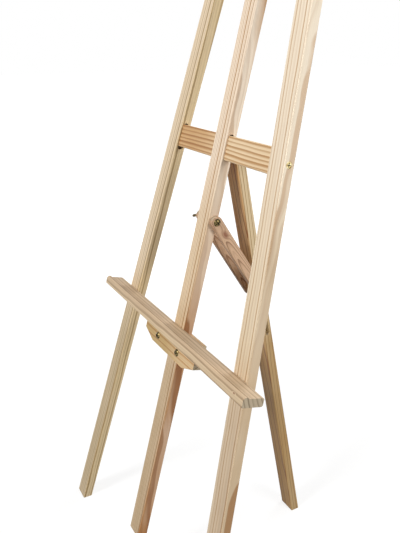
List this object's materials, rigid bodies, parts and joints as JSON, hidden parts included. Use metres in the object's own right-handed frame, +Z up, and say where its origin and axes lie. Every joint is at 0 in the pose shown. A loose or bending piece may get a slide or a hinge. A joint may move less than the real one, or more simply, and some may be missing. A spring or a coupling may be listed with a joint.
{
  "type": "artist easel",
  "caption": "Folding wooden A-frame artist easel: two splayed front legs, centre post, hinged rear leg with a slotted link, sliding canvas tray and sliding top canvas holder.",
  "frame": {"origin": "on the floor, under the middle of the whole easel's box", "axes": "+Z up, +Y to the back (towards the rear leg), +X to the easel's right seen from the front"},
  "size_m": [0.612, 0.4548, 1.7465],
  "materials": {
    "pine_frame": "planed pine, clear oiled",
    "pine_rail": "planed pine, strong grain",
    "pine_rear": "planed pine, clear oiled",
    "pine_link": "planed pine, pinkish brown",
    "pine_tray": "moulded pine, clear oiled",
    "beech_dowel": "turned beech",
    "antique_brass": "antique brass plate",
    "plain_brass": "bright rolled brass",
    "zinc_steel": "yellow zinc plated"
  },
  "bodies": {
    "front_frame": {"left_leg": "pine_frame", "right_leg": "pine_frame", "centre_post": "pine_frame", "cross_rail": "pine_rail", "top_rail": "pine_rail", "rail_screws": "plain_brass", "top_rail_screws": "zinc_steel", "hinge_post_leaf": "plain_brass", "hinge_pin": "zinc_steel", "hinge_post_screws": "plain_brass"},
    "rear_leg": {"rear_leg": "pine_rear", "hinge_leg_leaf": "plain_brass", "hinge_leg_screws": "plain_brass"},
    "link": {"link_right_slat": "pine_link", "link_left_slat": "pine_link", "link_upper_bolt": "antique_brass", "link_lower_bolt": "antique_brass", "link_washers": "antique_brass"},
    "link_upper_wing_nut": {"link_upper_wing_nut": "antique_brass"},
    "link_lower_wing_nut": {"link_lower_wing_nut": "antique_brass"},
    "tray": {"tray_board": "pine_tray", "tray_front_block": "pine_tray", "tray_rear_block": "pine_tray", "tray_dowels": "beech_dowel", "tray_bolts": "antique_brass", "tray_washers": "antique_brass"},
    "tray_left_wing_nut": {"tray_left_wing_nut": "antique_brass"},
    "tray_right_wing_nut": {"tray_right_wing_nut": "antique_brass"},
    "top_holder": {"holder_ledge": "pine_tray", "holder_front_block": "pine_tray", "holder_rear_block": "pine_tray", "holder_dowels": "beech_dowel", "holder_bolts": "antique_brass", "holder_washers": "antique_brass"},
    "holder_left_wing_nut": {"holder_left_wing_nut": "antique_brass"},
    "holder_right_wing_nut": {"holder_right_wing_nut": "antique_brass"}
  },
  "joints": [
    {"name": "rear_leg_fold", "type": "hinge", "parent": "front_frame", "child": "rear_leg", "pos_m": [0, 0.01482, 0.87571], "axis": [1, 0, 0], "range_deg": [-23.5, 0]},
    {"name": "link_fold", "type": "hinge", "parent": "front_frame", "child": "link", "pos_m": [0, -0.02368, 0.76266], "axis": [1, 0, 0], "range_deg": [-37, 0]},
    {"name": "tray_slide", "type": "slide", "parent": "front_frame", "child": "tray", "axis": [0, 0.2419, 0.9703], "range_m": [-0.35, 0.01]},
    {"name": "holder_slide", "type": "slide", "parent": "front_frame", "child": "top_holder", "axis": [0, 0.2419, 0.9703], "range_m": [-0.36, 0.3]},
    {"name": "link_upper_wing_nut_turn", "type": "hinge", "parent": "link", "child": "link_upper_wing_nut", "pos_m": [-0.0314, -0.02368, 0.76266], "axis": [1, 0, 0], "continuous": true},
    {"name": "link_lower_wing_nut_turn", "type": "hinge", "parent": "link", "child": "link_lower_wing_nut", "pos_m": [-0.0314, 0.08785, 0.59065], "axis": [1, 0, 0], "continuous": true},
    {"name": "tray_left_wing_nut_turn", "type": "hinge", "parent": "tray", "child": "tray_left_wing_nut", "pos_m": [-0.0406, -0.06186, 0.5136], "axis": [0, 0.9703, -0.2419], "continuous": true},
    {"name": "tray_right_wing_nut_turn", "type": "hinge", "parent": "tray", "child": "tray_right_wing_nut", "pos_m": [0.0406, -0.06186, 0.5136], "axis": [0, 0.9703, -0.2419], "continuous": true},
    {"name": "holder_left_wing_nut_turn", "type": "hinge", "parent": "top_holder", "child": "holder_left_wing_nut", "pos_m": [0.0406, 0.13898, 1.31914], "axis": [0, 0.9703, -0.2419], "continuous": true},
    {"name": "holder_right_wing_nut_turn", "type": "hinge", "parent": "top_holder", "child": "holder_right_wing_nut", "pos_m": [-0.0406, 0.13898, 1.31914], "axis": [0, 0.9703, -0.2419], "continuous": true}
  ],
  "couplings": [
    {"joint": "link_fold", "follows": "rear_leg_fold", "ratio": 1.5627}
  ]
}
